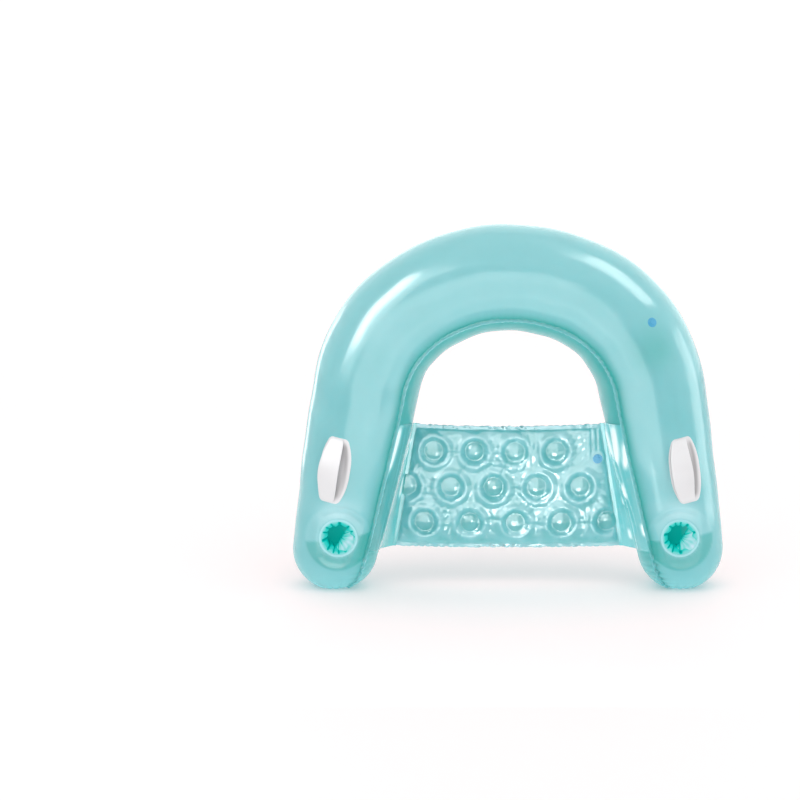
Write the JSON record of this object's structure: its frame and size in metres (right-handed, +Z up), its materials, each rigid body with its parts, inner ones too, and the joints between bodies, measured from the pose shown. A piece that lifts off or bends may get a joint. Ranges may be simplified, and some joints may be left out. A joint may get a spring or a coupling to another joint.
{
  "type": "inflatable pool tube",
  "caption": "Sit-in inflatable pool tube: a horseshoe tube with cup holders and grab handles, a bubbled seat pad on clear flaps, and sunk air valves.",
  "frame": {"origin": "on the floor under the middle of the float's whole width and depth, with the float standing on its two rounded arm ends", "axes": "+X to the right as seen from the front, across the two arms; +Z up, from the arm ends to the crown; the front with the cup holders faces -Y"},
  "size_m": [1.1712, 0.3091, 0.9909],
  "materials": {
    "aqua_vinyl": "soft glossy inflated vinyl film",
    "clear_aqua_vinyl": "glossy see-through vinyl film",
    "cup_vinyl": "glossy vinyl film, deeper in colour",
    "rim_vinyl": "pale welded vinyl ring",
    "white_vinyl": "smooth satin moulded vinyl",
    "blue_valve_vinyl": "satin moulded vinyl"
  },
  "bodies": {
    "float": {"tube_front_film": "aqua_vinyl", "tube_rear_film": "aqua_vinyl", "left_cup_sleeve": "cup_vinyl", "right_cup_sleeve": "cup_vinyl", "left_cup_base": "cup_vinyl", "right_cup_base": "cup_vinyl", "left_cup_rim": "rim_vinyl", "right_cup_rim": "rim_vinyl", "left_handle_base": "white_vinyl", "right_handle_base": "white_vinyl", "left_handle_strap": "white_vinyl", "right_handle_strap": "white_vinyl", "seat_front_film": "clear_aqua_vinyl", "seat_rear_film": "clear_aqua_vinyl", "seat_left_flap": "clear_aqua_vinyl", "seat_right_flap": "clear_aqua_vinyl", "tube_valve_flange": "blue_valve_vinyl", "seat_valve_flange": "blue_valve_vinyl"},
    "tube_stem": {"tube_valve_stem": "blue_valve_vinyl"},
    "tube_stopper": {"tube_valve_plug": "blue_valve_vinyl"},
    "tube_check": {"tube_valve_check_flap": "blue_valve_vinyl"},
    "seat_stem": {"seat_valve_stem": "blue_valve_vinyl"},
    "seat_stopper": {"seat_valve_plug": "blue_valve_vinyl"},
    "seat_check": {"seat_valve_check_flap": "blue_valve_vinyl"}
  },
  "joints": [
    {"name": "tube_valve_pop_up", "type": "slide", "parent": "float", "child": "tube_stem", "axis": [0.3846, -0.8746, 0.2951], "range_m": [0, 0.006]},
    {"name": "tube_stopper_hinge", "type": "hinge", "parent": "tube_stem", "child": "tube_stopper", "pos_m": [0.37493, -0.11557, 0.75435], "axis": [-0.9154, -0.4026, 0], "range_deg": [0, 150]},
    {"name": "tube_check_hinge", "type": "hinge", "parent": "tube_stem", "child": "tube_check", "pos_m": [0.3684, -0.10074, 0.74327], "axis": [0.9154, 0.4026, 0], "range_deg": [0, 50], "stiffness_Nm_per_rad": 0.0001, "springref_deg": -11.46},
    {"name": "seat_valve_pop_up", "type": "slide", "parent": "float", "child": "seat_stem", "axis": [0, -1, 0], "range_m": [0, 0.006]},
    {"name": "seat_stopper_hinge", "type": "hinge", "parent": "seat_stem", "child": "seat_stopper", "pos_m": [0.24197, 0.00326, 0.3614], "axis": [-1, 0, 0], "range_deg": [0, 150]},
    {"name": "seat_check_hinge", "type": "hinge", "parent": "seat_stem", "child": "seat_check", "pos_m": [0.24197, 0.02201, 0.3556], "axis": [1, 0, 0], "range_deg": [0, 50], "stiffness_Nm_per_rad": 0.0001, "springref_deg": -11.46}
  ]
}
